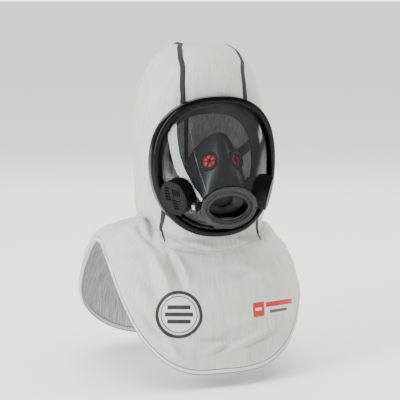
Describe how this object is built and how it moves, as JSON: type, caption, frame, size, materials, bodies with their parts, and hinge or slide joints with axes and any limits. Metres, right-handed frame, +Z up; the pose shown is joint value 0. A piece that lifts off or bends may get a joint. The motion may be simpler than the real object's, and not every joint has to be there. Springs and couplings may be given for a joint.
{
  "type": "smoke hood",
  "caption": "Knitted firefighter's hood with draped bibs over the shoulders, worn with a full-face breathing mask in its face opening.",
  "frame": {"origin": "middle of the head space, between the ears", "axes": "+Z up, -Y the way the wearer looks, +X the wearer's left"},
  "size_m": [0.2953, 0.2795, 0.4343],
  "materials": {
    "outer_knit": "knit",
    "lining_knit": "melange knit",
    "seam_thread": "overlocked thread",
    "pale_thread": "thread",
    "binding_tape": "folded tape",
    "elastic": "woven elastic",
    "badge_patch": "printed",
    "label_patch": "printed",
    "rim_plastic": "gloss",
    "voice_plastic": "matt",
    "catch_plastic": "satin",
    "lens_clear": "clear",
    "port_clear": "clear",
    "rubber": "matt",
    "cup_rubber": "matt",
    "steel": "satin",
    "diaphragm_film": "film",
    "clamp_metal": "satin",
    "seat_plastic": "matt",
    "valve_red": "matt",
    "strap_webbing": "woven webbing"
  },
  "bodies": {
    "hood": {"catch_insert": "steel", "chin_panel": "outer_knit", "chin_seams": "seam_thread", "crown_panel": "outer_knit", "face_casing": "binding_tape", "face_elastic": "elastic", "face_seal": "rubber", "front_arch_binding": "binding_tape", "front_yoke": "outer_knit", "front_yoke_lining": "lining_knit", "harness_pad": "rubber", "head_lining": "lining_knit", "latch_catch": "catch_plastic", "left_crown_seam": "seam_thread", "left_side_panel": "outer_knit", "left_valve_seat": "seat_plastic", "left_voice_grille": "voice_plastic", "left_voice_housing": "voice_plastic", "lens": "lens_clear", "lower_rim": "rim_plastic", "lower_straps": "strap_webbing", "neck_seam": "pale_thread", "nose_cup": "cup_rubber", "nose_cup_clamp": "clamp_metal", "nose_cup_neck": "cup_rubber", "port_gasket": "rubber", "port_ring": "port_clear", "rear_arch_binding": "binding_tape", "rear_yoke": "outer_knit", "rear_yoke_lining": "lining_knit", "right_crown_seam": "seam_thread", "right_side_panel": "outer_knit", "right_valve_seat": "seat_plastic", "right_voice_grille": "voice_plastic", "right_voice_housing": "voice_plastic", "rim_joiners": "steel", "rim_screws": "steel", "shoulder_seams": "pale_thread", "strap_buckles": "steel", "upper_rim": "rim_plastic", "upper_straps": "strap_webbing", "voice_clamp_rings": "clamp_metal", "voice_diaphragms": "diaphragm_film", "voice_ducts": "cup_rubber", "voice_gaskets": "rubber"},
    "front_flap": {"front_bib": "outer_knit", "front_bib_lining": "lining_knit", "front_hem_binding": "binding_tape", "chest_badge": "badge_patch", "chest_label": "label_patch"},
    "rear_flap": {"rear_bib": "outer_knit", "rear_bib_lining": "lining_knit", "rear_hem_binding": "binding_tape"},
    "right_valve": {"right_valve_disc": "valve_red"},
    "left_valve": {"left_valve_disc": "valve_red"}
  },
  "joints": [
    {"name": "front_flap_lift", "type": "hinge", "parent": "hood", "child": "front_flap", "pos_m": [0, -0.0956, -0.132], "axis": [-1, 0, 0], "range_deg": [0, 50], "stiffness_Nm_per_rad": 0.06, "springref_deg": -34.38},
    {"name": "rear_flap_lift", "type": "hinge", "parent": "hood", "child": "rear_flap", "pos_m": [0, 0.1333, -0.132], "axis": [1, 0, 0], "range_deg": [0, 50], "stiffness_Nm_per_rad": 0.06, "springref_deg": -34.38},
    {"name": "right_valve_lift", "type": "slide", "parent": "hood", "child": "right_valve", "axis": [0.7243, 0.5601, -0.4021], "range_m": [0, 0.0018], "stiffness_N_per_m": 8, "springref_m": -0.001},
    {"name": "left_valve_lift", "type": "slide", "parent": "hood", "child": "left_valve", "axis": [-0.7243, 0.5601, -0.4021], "range_m": [0, 0.0018], "stiffness_N_per_m": 8, "springref_m": -0.001}
  ]
}
